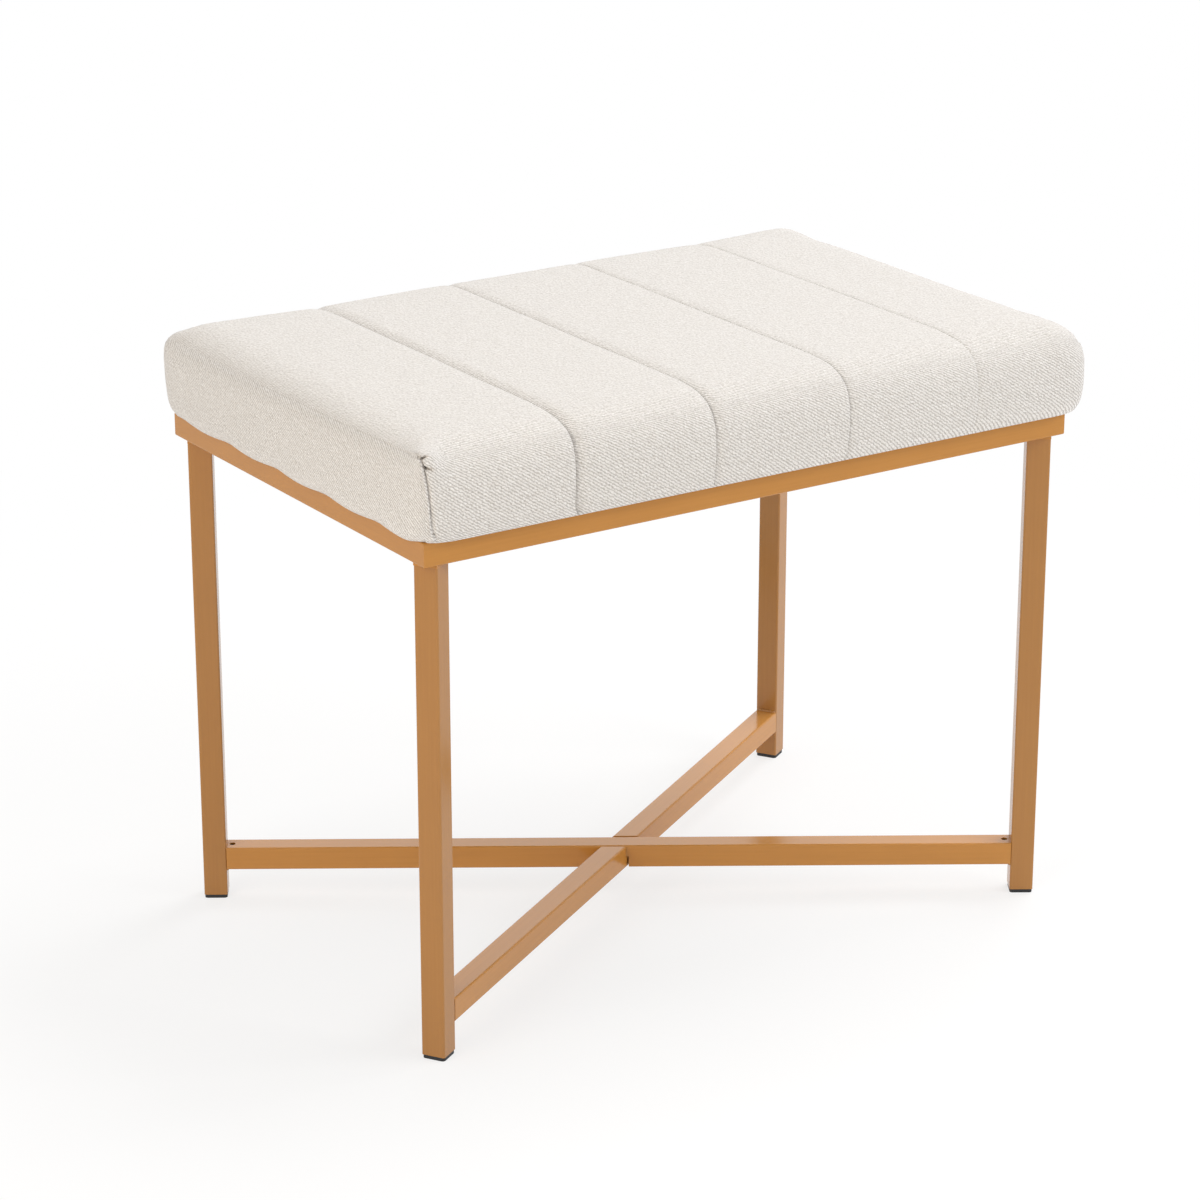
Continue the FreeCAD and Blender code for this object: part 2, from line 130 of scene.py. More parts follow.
# Seam along the top of each end panel, broken up into patches
END_SEAM_DEPTH = 1.0 * MM
END_SEAM_WIDTH = 0.8 * MM
END_SEAM_LOOP = 0.6 * MM
END_SEAM_DROP = 3 * MM
END_SEAM_LOWEST = 0.6
END_SEAM_FACING = -0.2
END_SEAM_FRONT = 0.62
END_SEAM_EVEN = 0.55
END_SEAM_UNEVEN = 0.9
END_SEAM_PATCH = 9 * MM
END_SEAM_DRAW = 3
END_RIDGE = 0.2 * MM
END_RIDGE_WIDTH = 6 * MM

# Scallops that the staples pull into the lower edge of the ends
SCALLOP_START = -137 * MM
SCALLOP_PITCH = 78 * MM
SCALLOP_DROP = 2.1 * MM
SCALLOP_SWELL = 1.2 * MM
SCALLOP_HEIGHT = 16 * MM
SCALLOP_CORNER = 20 * MM

# Seam down each corner, leaning away from the corner towards its foot, with pinches at
# its top; places on it are measured in from the corner, below 0 round the corner, and
# down from the top
CORNER_SEAM_HEAD = Vector((0.5, 2)) * MM
CORNER_SEAM_FOOT = 12.5 * MM
CORNER_SEAM_FADE = 3 * MM
CORNER_SEAM_BEND = 2.5 * MM
CORNER_SEAM_BEND_LENGTH = 8 * MM
CORNER_SEAM_ROUND = 12 * MM
CORNER_SEAM_HIDDEN_INSET = 10 * MM
CORNER_SEAM_LOOPS = (0, 0.7 * MM, 1.5 * MM, 2.6 * MM, 4.2 * MM, 6.5 * MM)
CORNER_SEAM_ROW = 2 * MM
CORNER_SEAM_REACH = 26 * MM
CORNER_SEAM_DEPTH = 2.8 * MM
CORNER_SEAM_WIDTH = 1.3 * MM
CORNER_SEAM_EVEN = 0.9
CORNER_SEAM_UNEVEN = 0.4
CORNER_SEAM_PATCH = 6 * MM
CORNER_LIP = 0.8 * MM
CORNER_LIP_PLACE = 2.2 * MM
CORNER_LIP_WIDTH = 1.7 * MM
PUCKER = 0.4 * MM
PUCKER_PITCH = 7 * MM
PUCKER_REACH = 5 * MM
PINCHES = (
    (Vector((-2, 3)) * MM, Vector((4.5, 0.5)) * MM),
    (Vector((1.5, 9.5)) * MM, Vector((8.5, 11.5)) * MM),
    (Vector((-2, 3)) * MM, Vector((-8, 2)) * MM),
)
PINCH_DEPTH = 6 * MM
PINCH_WIDTH = 1.2 * MM
PINCH_TAPER = 0.6
PINCH_ROW = 0.9 * MM
PINCH_REACH = 18 * MM
# Painted shade in the gaps of the corner seams and their pinches: its width, and how soon it fades
# down the seam
SEAM_SHADE_WIDTH = 0.8 * MM
SEAM_SHADE_LENGTH = 10 * MM

# Slight unevenness of the hand-covered foam
EASE = 0.5 * MM
EASE_PER_METRE = 14

# Dust cover and the welds of the stretchers
DUST_CORNER = 8 * MM
DUST_PITCH = 12 * MM
DUST_STAPLED = 8 * MM
DUST_SAG = 2.5 * MM
DUST_RIPPLE = 0.35
DUST_RIPPLE_SIZE = 60 * MM
WELD_RADIUS = 2.0 * MM
WELD_RIPPLE = 2.4 * MM
WELD_ROUGHNESS = 0.10
WELD_SIDES = 16
WELD_END = 0.45


class Finish:
    """A material in the making: its nodes, its shader and short ways to add to them."""

    def __init__(self, name, sockets):
        self.material = bpy.data.materials.new(name)
        self.material.use_nodes = True
        self.tree = self.material.node_tree
        self.shader = self.tree.nodes["Principled BSDF"]
        self.fill(self.shader, sockets)

    def fill(self, node, sockets):
        for socket, value in sockets.items():
            if isinstance(value, bpy.types.NodeSocket):
                self.tree.links.new(value, node.inputs[socket])
            else:
                node.inputs[socket].default_value = value

    def add(self, kind, sockets, **settings):
        node = self.tree.nodes.new("ShaderNode" + kind)
        for setting, value in settings.items():
            setattr(node, setting, value)
        self.fill(node, sockets)
        return node

    def place(self, scale=(1, 1, 1), turn=(0, 0, 0), sewn_map=None):
        """Object coordinates, or the piece's own map, stretched and turned."""
        if sewn_map:
            source = self.add("UVMap", {}, uv_map=sewn_map).outputs["UV"]
        else:
            source = self.add("TexCoord", {}).outputs["Object"]
        turned = self.add("Mapping", {"Vector": source, "Rotation": turn}).outputs["Vector"]
        return self.add("Mapping", {"Vector": turned, "Scale": scale}).outputs["Vector"]

    def grain(self, place, size, detail=2.0, roughness=0.5):
        """Soft cloudy noise with spots of about this size."""
        sockets = {"Vector": place, "Scale": 1 / size, "Detail": detail, "Roughness": roughness}
        return self.add("TexNoise", sockets).outputs["Fac"]

    def bands(self, place, pitch, direction, distortion=0.0, breaks=1.0):
        """Round ridges at this pitch along the direction, bent and broken up."""
        per_pitch = math.pi / 5 if direction == "DIAGONAL" else math.pi / 10
        sockets = {"Vector": place, "Scale": per_pitch / pitch, "Detail": 1.0}
        sockets |= {"Distortion": distortion, "Detail Scale": breaks}
        return self.add("TexWave", sockets, bands_direction=direction).outputs["Fac"]

    def combine(self, operation, first, second):
        return self.add("Math", {0: first, 1: second}, operation=operation).outputs[0]

    def blend(self, first, share, second):
        """Two values added, the first by its share and the second by the rest."""
        part = self.combine("MULTIPLY", first, share)
        return self.combine("ADD", part, self.combine("MULTIPLY", second, 1 - share))

    def mix(self, factor, first, second):
        sockets = {0: factor, 6: first, 7: second}
        return self.add("Mix", sockets, data_type="RGBA").outputs[2]

    def tinted(self, first, second):
        sockets = {0: 1.0, 6: first, 7: second}
        return self.add("Mix", sockets, data_type="RGBA", blend_type="MULTIPLY").outputs[2]

    def span(self, factor, low, high):
        """A value from 0 to 1 spread between two others."""
        return self.add("MapRange", {0: factor, 3: low, 4: high}).outputs[0]

    def bump(self, height, distance, strength=1.0):
        sockets = {"Height": height, "Distance": distance, "Strength": strength}
        normal = self.add("Bump", sockets).outputs["Normal"]
        self.tree.links.new(normal, self.shader.inputs["Normal"])


def gold_lacquer(name, turn, shade=1.0, gloss=1.38):
    """Semi-gloss caramel gold lacquer, with faint streaks along the tube, darkened all over by
    shade: painted shade for parts that get less light.
    """
    finish = Finish(name, {"IOR": gloss})
    streaks = finish.grain(finish.place((1, 40, 40), turn), 70 * MM, 3.0)
    clouds = finish.grain(finish.place(), 60 * MM)
    peel = finish.grain(finish.place(), 1.1 * MM)
    tone = finish.blend(streaks, 0.6, clouds)
    # Painted shade: shade darkens both tones for parts that get less light
    dark = (0.515 * shade, 0.222 * shade, 0.044 * shade, 1)
    light = (0.630 * shade, 0.285 * shade, 0.060 * shade, 1)
    finish.fill(finish.shader, {
        "Base Color": finish.mix(tone, dark, light),
        "Roughness": finish.span(streaks, 0.14, 0.24),
    })
    finish.bump(peel, 0.02 * MM)
    return finish.material


def moulded_black():
    """Black moulded plastic with a fine satin grain."""
    finish = Finish("moulded_black", {"IOR": 1.48})
    spots = finish.grain(finish.place(), 0.6 * MM, 3.0)
    wear = finish.grain(finish.place(), 9 * MM)
    finish.fill(finish.shader, {
        "Base Color": finish.mix(wear, (0.010, 0.010, 0.011, 1), (0.022, 0.022, 0.024, 1)),
        "Roughness": finish.span(spots, 0.42, 0.62),
    })
    finish.bump(spots, 0.04 * MM)
    return finish.material


def zinc_plate(name, shade):
    """Zinc-plated steel, a little cloudy."""
    finish = Finish(name, {"Metallic": 1.0})
    clouds = finish.grain(finish.place(), 3 * MM, 3.0)
    dark = (0.60 * shade, 0.60 * shade, 0.58 * shade, 1)
    light = (0.78 * shade, 0.78 * shade, 0.75 * shade, 1)
    finish.fill(finish.shader, {
        "Base Color": finish.mix(clouds, dark, light),
        "Roughness": finish.span(clouds, 0.28, 0.46),
    })
    finish.bump(clouds, 0.03 * MM)
    return finish.material


def plywood():
    """Pale birch plywood: grain along the board and plies in its edge."""
    finish = Finish("plywood", {"IOR": 1.45})
    fibres = finish.grain(finish.place((1, 14, 14)), 60 * MM, 4.0)
    plies = finish.bands(finish.place(), 4 * MM, "Z", 0.2)
    tone = finish.blend(fibres, 0.7, plies)
    finish.fill(finish.shader, {
        "Base Color": finish.mix(tone, (0.45, 0.29, 0.15, 1), (0.66, 0.48, 0.29, 1)),
        "Roughness": finish.span(fibres, 0.55, 0.75),
    })
    finish.bump(fibres, 0.08 * MM)
    return finish.material


def ivory_twill():
    """Ivory linen-look twill: diagonal ribs of fine threads, slubs and a soft bloom, with painted
    shade in the weave's hollows and in the corner seams' gaps.
    """
    finish = Finish("ivory_twill", {"IOR": 1.4, "Sheen Weight": 0.15, "Sheen Roughness": 0.45})
    cloth = finish.place(sewn_map="weave")
    slanted = finish.place((0.8, 1.17, 1), sewn_map="weave")
    ribs = finish.bands(slanted, 3.1 * MM, "DIAGONAL", 3.2, 2.2)
    warp = finish.bands(cloth, 0.9 * MM, "X", 0.4)
    weft = finish.bands(cloth, 0.9 * MM, "Y", 0.4)
    threads = finish.blend(warp, 0.5, weft)
    slubs = finish.grain(finish.place((1, 5, 1), sewn_map="weave"), 12 * MM, 3.0)
    flecks = finish.grain(cloth, 1.6 * MM, 2.0, 0.65)
    floats = finish.add("MapRange", {0: ribs, 1: 0.05, 2: 0.5}).outputs[0]
    weave = finish.blend(floats, 0.85, threads)
    speck = finish.add("MapRange", {0: flecks, 1: 0.3, 2: 0.7}).outputs[0]
    slub = finish.add("MapRange", {0: slubs, 1: 0.3, 2: 0.7}).outputs[0]
    yarn = finish.mix(speck, (0.74, 0.705, 0.665, 1), (1.0, 0.980, 0.960, 1))
    tint = finish.mix(slub, (0.94, 0.93, 0.915, 1), (1, 1, 1, 1))
    # Painted shade: the weave darker in the hollows between its ribs and threads
    painted_weave_shade = finish.mix(weave, (0.62, 0.60, 0.58, 1), (1, 1, 1, 1))
    # Painted shade: the cloth darkened towards brown in the gaps of the corner seams and their
    # pinches
    gap = finish.add("Attribute", {}, attribute_name="seam_shade").outputs["Fac"]
    depth = finish.mix(gap, (1, 1, 1, 1), (0.30, 0.25, 0.20, 1))
    finish.fill(finish.shader, {
        "Base Color": finish.tinted(finish.tinted(finish.tinted(yarn, tint), painted_weave_shade), depth),
        "Roughness": finish.span(flecks, 0.82, 0.96),
    })
    relief = finish.combine("ADD", weave, finish.combine("MULTIPLY", flecks, 0.6))
    finish.bump(relief, 0.3 * MM)
    return finish.material


def dust_felt():
    """Charcoal non-woven cloth of pressed fibres."""
    finish = Finish("dust_felt", {"IOR": 1.45, "Sheen Weight": 0.15})
    fibres = finish.grain(finish.place((1, 3, 1), (0, 0, 0.6)), 1.5 * MM, 4.0, 0.7)
    points = finish.grain(finish.place(), 2.5 * MM)
    finish.fill(finish.shader, {
        "Base Color": finish.mix(fibres, (0.014, 0.014, 0.015, 1), (0.045, 0.045, 0.048, 1)),
        "Roughness": finish.span(points, 0.7, 0.95),
    })
    finish.bump(fibres, 0.12 * MM)
    return finish.material


def new_piece(name, bm, material):
    """A finished mesh at the origin; its caller sets it riding on the bench."""
    mesh = bpy.data.meshes.new(name)
    bm.to_mesh(mesh)
    bm.free()
    piece = bpy.data.objects.new(name, mesh)
    scene.collection.objects.link(piece)
    mesh.materials.append(material)
    for face in mesh.polygons:
        face.use_smooth = True
    return piece


def everything(bm):
    return bm.verts[:] + bm.edges[:] + bm.faces[:]


def evenly(first, last, pitch):
    """Places between two ends at about the pitch, without the ends themselves."""
    steps = round((last - first) / pitch)
    return [first + (last - first) * i / steps for i in range(1, steps)]


def cut_loops(bm, axis, places):
    """Edge loops all round the block at these places along one axis."""
    normal = Vector((0, 0, 0))
    normal[axis] = 1
    for place in places:
        bmesh.ops.bisect_plane(bm, geom=everything(bm), dist=TOLERANCE,
                               plane_co=normal * place, plane_no=normal)


def cut_faces(bm, faces, place, normal):
    """One more loop across these faces; gives the faces that it leaves."""
    edges = dict.fromkeys(edge for face in faces for edge in face.edges)
    verts = dict.fromkeys(vert for face in faces for vert in face.verts)
    cut = bmesh.ops.bisect_plane(bm, geom=[*verts, *edges, *faces], dist=2 * TOLERANCE,
                                 plane_co=place, plane_no=normal)
    return [part for part in cut["geom"] if isinstance(part, bmesh.types.BMFace)]


def cushion_block():
    """A box as large as the cover, with loops at the seams and edges and between them."""
    half = BLOCK
    bm = bmesh.new()
    bmesh.ops.create_cube(bm, size=1)
    bmesh.ops.scale(bm, vec=(2 * half.x, 2 * half.y, half.z - SEAT_BOTTOM), verts=bm.verts)
    bmesh.ops.translate(bm, vec=(0, 0, (half.z + SEAT_BOTTOM) / 2), verts=bm.verts)
    stops = [-half.x, *SEAMS, half.x]
    near_seams = [
        seam + side * loop for seam in SEAMS for loop in SEAM_LOOPS for side in (-1, 1)
    ]
    near_ends = [side * (half.x - loop) for loop in EDGE_LOOPS for side in (-1, 1)]
    cut_loops(bm, 0, SEAMS + near_seams + near_ends)
    for first, last in zip(stops, stops[1:]):
        cut_loops(bm, 0, evenly(first, last, CLOTH_PITCH))
    cut_loops(bm, 1, [side * (half.y - loop) for loop in EDGE_LOOPS for side in (-1, 1)])
    cut_loops(bm, 1, evenly(-half.y, half.y, CLOTH_PITCH))
    cut_loops(bm, 2, [half.z - loop for loop in EDGE_LOOPS])
    cut_loops(bm, 2, [SEAT_BOTTOM + loop for loop in EDGE_LOOPS])
    end_seam = half.z - END_SEAM_DROP
    cut_loops(bm, 2, (end_seam - END_SEAM_LOOP, end_seam, end_seam + END_SEAM_LOOP))
    cut_loops(bm, 2, evenly(SEAT_BOTTOM, half.z, CLOTH_PITCH))
    return bm


def lay_weave(bm):
    """The weave's own map, in metres: one strip over front, top and back, and the two ends."""
    weave = bm.loops.layers.uv.new("weave")
    for face in bm.faces:
        flat = max(range(3), key=lambda axis: abs(face.normal[axis]))
        for corner in face.loops:
            x, y, z = corner.vert.co
            fall = SEAT_TOP - z
            if flat == 0:
                corner[weave].uv = (math.copysign(y, x * y), -fall)
            elif flat == 1:
                corner[weave].uv = (x, y - fall if y < 0 else y + fall)
            else:
                corner[weave].uv = (x, y)


def note_pattern(bm):
    """Keeps each point's place on the flat-sided block, where the seams are straight."""
    pattern = bm.verts.layers.float_vector.new("pattern")
    for vert in bm.verts:
        vert[pattern] = vert.co


def edge_radii(place):
    """Radii of the rounding near a point of the block, with the ends' own roll."""
    near_end = max(0, abs(place.x) - BLOCK.x + EDGE_RADII.x)
    near_side = max(0, abs(place.y) - BLOCK.y + EDGE_RADII.y)
    if near_end == 0:
        return EDGE_RADII
    share = near_end ** 2 / (near_end ** 2 + near_side ** 2)
    roll = END_ROLL_LEFT if place.x < 0 else END_ROLL_RIGHT
    return Vector((EDGE_RADII.x, EDGE_RADII.y, EDGE_RADII.z + (roll - EDGE_RADII.z) * share))


def round_over(bm):
    """Rounds the block's upright and upper edges and tucks its lower edge in."""
    half = BLOCK
    for vert in bm.verts:
        on_side = abs(vert.co.x) > half.x - TOLERANCE or abs(vert.co.y) > half.y - TOLERANCE
        radii = edge_radii(vert.co)
        core_size = half - radii
        slope = max(0, 1 - (half.x - abs(vert.co.x)) / END_SLOPE_LENGTH)
        height = height_share(vert.co)
        core = Vector((
            max(-core_size.x, min(core_size.x, vert.co.x)),
            max(-core_size.y, min(core_size.y, vert.co.y)),
            min(core_size.z, vert.co.z),
        ))
        out = Vector(gap / radius for gap, radius in zip(vert.co - core, radii))
        corner = min(abs(out.x), abs(out.y))
        power = CORNER_SHARPNESS
        rise = 2
        if vert.co.x < 0:
            power += (CORNER_SHARPNESS_UPPER_LEFT - CORNER_SHARPNESS) * height
            ear = CORNER_EAR_FRONT if vert.co.y < 0 else CORNER_EAR_BACK
            rise += ear * corner
            slope *= math.sqrt(max(0, 1 - CORNER_LIFT * ((half.y - vert.co.y) / (2 * half.y)) ** 2))
        level = (abs(out.x) ** power + abs(out.y) ** power) ** (1 / power)
        reach = (level ** rise + abs(out.z) ** rise) ** (1 / rise)
        if reach > 0:
            vert.co = core + out * radii * max(abs(part) for part in out) / reach
        vert.co.z -= END_SLOPE * slope ** 2 * height
        if vert.co.x < 0 and vert.co.y < 0:
            vert.co += CORNER_PULL * corner * height ** CORNER_PULL_POWER
        above = vert.co.z - SEAT_BOTTOM
        low = max(0, 1 - above / END_TUCK_HEIGHT)
        vert.co.x *= 1 - END_TUCK * low ** 2 / HALF_LENGTH
        vert.co.y *= 1 - TUCK * max(0, 1 - above / TUCK_HEIGHT) ** 2 / HALF_DEPTH
        if on_side:
            vert.co.z -= HANG * low ** 2


def swell(piece):
    """Blows the cover up from inside, held at its underside."""
    held = piece.vertex_groups.new(name="held")
    top = SEAT_BOTTOM + HELD_HEIGHT
    underside = [vert.index for vert in piece.data.vertices if vert.co.z < top]
    held.add(underside, 1.0, "REPLACE")
    cloth = piece.modifiers.new("swell", "CLOTH")
    cloth.settings.quality = SWELL_QUALITY
    cloth.settings.use_pressure = True
    cloth.settings.uniform_pressure_force = SWELL_PRESSURE
    cloth.settings.effector_weights.gravity = 0
    cloth.settings.vertex_group_mass = held.name
    for step in range(1, SWELL_FRAMES + 1):
        scene.frame_set(step)
    swollen = piece.evaluated_get(bpy.context.evaluated_depsgraph_get())
    places = [vert.co.copy() for vert in swollen.data.vertices]
    piece.modifiers.remove(cloth)
    piece.vertex_groups.remove(held)
    scene.frame_set(1)
    for vert, place in zip(piece.data.vertices, places):
        move = place - vert.co
        cap = SWELL_CAP * max(0, min(1, (vert.co.z - SEAT_BOTTOM) / END_TUCK_HEIGHT))
        if move.length > 0 and cap > 0:
            vert.co += move.normalized() * cap * math.tanh(move.length / cap)


def subdivided(piece):
    """The piece's mesh, subdivided once and smoothed."""
    finer = piece.modifiers.new("finer", "SUBSURF")
    finer.levels = 1
    finer.render_levels = 1
    bpy.context.view_layer.update()
    smooth = piece.evaluated_get(bpy.context.evaluated_depsgraph_get())
    mesh = bpy.data.meshes.new_from_object(smooth)
    piece.modifiers.remove(finer)
    bm = bmesh.new()
    bm.from_mesh(mesh)
    bpy.data.meshes.remove(mesh)
    return bm


def sculpt(bm, press):
    """Moves every point by what press gives for its place on the pattern and its normal."""
    pattern = bm.verts.layers.float_vector["pattern"]
    bm.normal_update()
    moves = [press(vert[pattern], vert.normal) for vert in bm.verts]
    for vert, move in zip(bm.verts, moves):
        if move is not None:
            vert.co += move


def height_share(place):
    """0 at the seat's lower edge, 1 at its top."""
    return (place.z - SEAT_BOTTOM) / (BLOCK.z - SEAT_BOTTOM)


def press_channel_seam(place, normal):
    """A seam between two channels: a lip, a crease and a rising flank that fade down the sides."""
    seam = min(range(len(SEAMS)), key=lambda i: abs(place.x - SEAMS[i]))
    across = place.x - SEAMS[seam]
    if abs(across) > SEAM_REACH or normal.z < FACING_DOWN:
        return None
    height = height_share(place)
    depth = CREASE_DEPTH * math.exp(-(across / CREASE_WIDTH) ** 2)
    if across < 0:
        depth += LIP_DROP * math.exp(across / LIP_LENGTH)
    depth *= SEAM_PULLS[seam] * (SEAM_FOOT_SHARE + (1 - SEAM_FOOT_SHARE) * height ** 2)
    if across >= 0:
        from_back = min(1, (BLOCK.y - place.y) / SEAM_BACK_FADE)
        flank = FLANK_DROPS[seam] * max(0, 1 - across / FLANK_LENGTHS[seam]) ** 2
        flank *= FLANK_BACK_SHARE + (1 - FLANK_BACK_SHARE) * from_back
        depth += flank * (FLANK_FOOT_SHARE + (1 - FLANK_FOOT_SHARE) * height)
    return normal * -depth


def end_seam_distance(place):
    """How far a point lies from the seam round its end panel, below 0 on the panel itself."""
    inset = BLOCK.x - abs(place.x)
    if inset > TOLERANCE:
        return inset
    return -min(BLOCK.y - abs(place.y), BLOCK.z - place.z)


def press_end_seam(place, normal):
    """The seam along an end panel's top: a soft ridge, and below it a thin broken crease."""
    distance = end_seam_distance(place)
    too_low = height_share(place) < END_SEAM_LOWEST or normal.z < END_SEAM_FACING
    if abs(distance) > 3 * END_RIDGE_WIDTH or too_low:
        return None
    front = max(0, min(1, END_SEAM_FRONT - place.y / (2 * HALF_DEPTH)))
    patch = Vector((END_SEAM_DRAW, place.y / END_SEAM_PATCH, place.z / END_SEAM_PATCH))
    broken = max(0, END_SEAM_EVEN + END_SEAM_UNEVEN * noise.noise(patch))
    ridge = END_RIDGE * math.exp(-(distance / END_RIDGE_WIDTH) ** 2)
    below = distance + END_SEAM_DROP
    crease = END_SEAM_DEPTH * broken * front * math.exp(-(below / END_SEAM_WIDTH) ** 2)
    return normal * (ridge - crease)


def hang_scallop(place, normal):
    """The lower edge of an end panel, pulled up at each staple and slack between them."""
    if abs(place.x) < BLOCK.x - TOLERANCE:
        return None
    low = max(0, 1 - (place.z - SEAT_BOTTOM) / SCALLOP_HEIGHT)
    corner = min(1, (BLOCK.y - abs(place.y)) / SCALLOP_CORNER)
    slack = abs(math.sin(math.pi * (place.y - SCALLOP_START) / SCALLOP_PITCH)) * corner
    out = math.copysign(SCALLOP_SWELL, place.x)
    return Vector((out * slack * low, 0, -SCALLOP_DROP * (slack - 0.5) * low ** 2))


class CornerSeam:
    """The seam down one corner: on front or back at the left, on the end panel at the right."""

    def __init__(self, end, side):
        self.end = end
        self.side = side
        self.panel = 1 if end < 0 else 0
        self.inset = 0 if end < 0 and side < 0 else CORNER_SEAM_HIDDEN_INSET
        self.pinches = PINCHES[:2] if self.inset else PINCHES
        foot = Vector((CORNER_SEAM_FOOT, BLOCK.z - SEAT_BOTTOM))
        self.down = (foot - CORNER_SEAM_HEAD).normalized()
        self.across = Vector((self.down.y, -self.down.x))

    def gaps(self, place):
        """How far a point lies in from the end panel and from the front or back."""
        return BLOCK.x - place.x * self.end, BLOCK.y - place.y * self.side

    def flat(self, place):
        """A point's place on the flat pattern."""
        gaps = self.gaps(place)
        return Vector((gaps[1 - self.panel] - gaps[self.panel] - self.inset, BLOCK.z - place.z))

    def at(self, flat):
        """The point of the block for a place on the seam's own panel."""
        gaps = [0, 0]
        gaps[1 - self.panel] = flat.x + self.inset
        x = self.end * (BLOCK.x - gaps[0])
        y = self.side * (BLOCK.y - gaps[1])
        return Vector((x, y, BLOCK.z - flat.y))

    def near(self, place):
        """Whether a point lies on a side beside the seam."""
        on_side = min(self.gaps(place)) < TOLERANCE
        return on_side and -CORNER_SEAM_ROUND < self.flat(place).x < CORNER_SEAM_REACH

    def near_own(self, place):
        """Whether it also lies on the seam's own panel."""
        return self.near(place) and self.gaps(place)[self.panel] < TOLERANCE

    def near_top(self, place):
        """Whether it lies where the pinches are."""
        flat = self.flat(place)
        return self.near(place) and abs(flat.x) < PINCH_REACH and flat.y < PINCH_REACH

    def refine(self, bm):
        """Fine loops along and across the seam, while the cover is laid out flat."""
        corner = self.at(Vector((0, 0)))
        across = self.at(self.across) - corner
        upright = Vector((0, 0, 1))
        faces = [face for face in bm.faces if all(self.near_own(vert.co) for vert in face.verts)]
        for loop in CORNER_SEAM_LOOPS:
            for side in (-1, 1) if loop else (1,):
                place = self.at(CORNER_SEAM_HEAD + self.across * side * loop)
                faces = cut_faces(bm, faces, place, across)
        for row in evenly(0, BLOCK.z - SEAT_BOTTOM, CORNER_SEAM_ROW):
            faces = cut_faces(bm, faces, corner - upright * row, upright)
        faces = [face for face in bm.faces if all(self.near_top(vert.co) for vert in face.verts)]
        for row in evenly(0, PINCH_REACH, PINCH_ROW):
            faces = cut_faces(bm, faces, corner - upright * row, upright)
            along_x = Vector((self.end * row, 0, 0))
            along_y = Vector((0, self.side * row, 0))
            faces = cut_faces(bm, faces, corner - along_x, Vector((1, 0, 0)))
            faces = cut_faces(bm, faces, corner - along_y, Vector((0, 1, 0)))

    def from_seam(self, flat):
        """How far a place lies across the seam, which bends at its top, and down it."""
        down = (flat - CORNER_SEAM_HEAD).dot(self.down)
        bend = CORNER_SEAM_BEND * math.exp(-max(0, down) / CORNER_SEAM_BEND_LENGTH)
        return (flat - CORNER_SEAM_HEAD).dot(self.across) + bend, down

    def press(self, place, normal):
        """A crease with a raised lip towards the corner, puckers, and pinches at its top."""
        if not self.near(place):
            return None
        flat = self.flat(place)
        across, down = self.from_seam(flat)
        head = 1 + down / CORNER_SEAM_ROW
        foot = (place.z - SEAT_BOTTOM) / CORNER_SEAM_FADE
        sewn = max(0, min(1, head, foot))
        patch = Vector((down / CORNER_SEAM_PATCH, self.end, self.side))
        uneven = CORNER_SEAM_EVEN + CORNER_SEAM_UNEVEN * noise.noise(patch)
        crease = CORNER_SEAM_DEPTH * uneven * math.exp(-(across / CORNER_SEAM_WIDTH) ** 2)
        lip = CORNER_LIP * math.exp(-((across + CORNER_LIP_PLACE) / CORNER_LIP_WIDTH) ** 2)
        pucker = PUCKER * math.sin(math.tau * down / PUCKER_PITCH)
        pucker *= math.exp(-abs(across) / PUCKER_REACH)
        pinch = PINCH_DEPTH * self.deepest_pinch(flat, PINCH_WIDTH)
        return normal * ((lip + pucker * uneven) * sewn - max(crease * sewn, pinch))

    def shade(self, place):
        """How much painted shade the gap of the seam and its pinches gets at a point, from 0 to 1.
        """
        if not self.near(place):
            return 0
        flat = self.flat(place)
        across, down = self.from_seam(flat)
        sewn = max(0, min(1, 1 + down / CORNER_SEAM_ROW))
        sewn *= math.exp(-max(0, down) / SEAM_SHADE_LENGTH)
        width = SEAM_SHADE_WIDTH * (1 + math.exp(-max(0, down) / CORNER_SEAM_BEND_LENGTH))
        line = sewn * math.exp(-(across / width) ** 2)
        return max(line, self.deepest_pinch(flat, SEAM_SHADE_WIDTH))

    def deepest_pinch(self, flat, width):
        return max(self.pinch(flat, width, *ends) for ends in self.pinches)

    def pinch(self, flat, width, start, stop):
        """1 at the root of a pinch, less towards its tip and 0 beside it."""
        run = stop - start
        share = max(0, min(1, (flat - start).dot(run) / run.length_squared))
        gap = (flat - start - run * share).length
        return (1 - PINCH_TAPER * share) * math.exp(-(gap / width) ** 2)


def sew_corners(bm):
    """Lays the cover flat to cut fine loops along its corner seams, presses them in, and notes
    their painted shade.
    """
    seams = [CornerSeam(end, side) for end in (-1, 1) for side in (-1, 1)]
    pattern = bm.verts.layers.float_vector["pattern"]
    shape = bm.verts.layers.float_vector.new("shape")
    for vert in bm.verts:
        vert[shape] = vert.co
        vert.co = vert[pattern]
    for seam in seams:
        seam.refine(bm)
    for vert in bm.verts:
        vert.co = vert[shape]
    bm.verts.layers.float_vector.remove(shape)
    for seam in seams:
        sculpt(bm, seam.press)
    # Painted shade: how far the cloth's colour is darkened at each point in a seam's gap or pinch
    shade = bm.verts.layers.float.new("seam_shade")
    for vert in bm.verts:
        vert[shade] = max(seam.shade(vert[pattern]) for seam in seams)


def ease(place, normal):
    """Slight unevenness of hand-covered foam."""
    if normal.z < FACING_DOWN:
        return None
    return normal * EASE * noise.noise(place * EASE_PER_METRE)


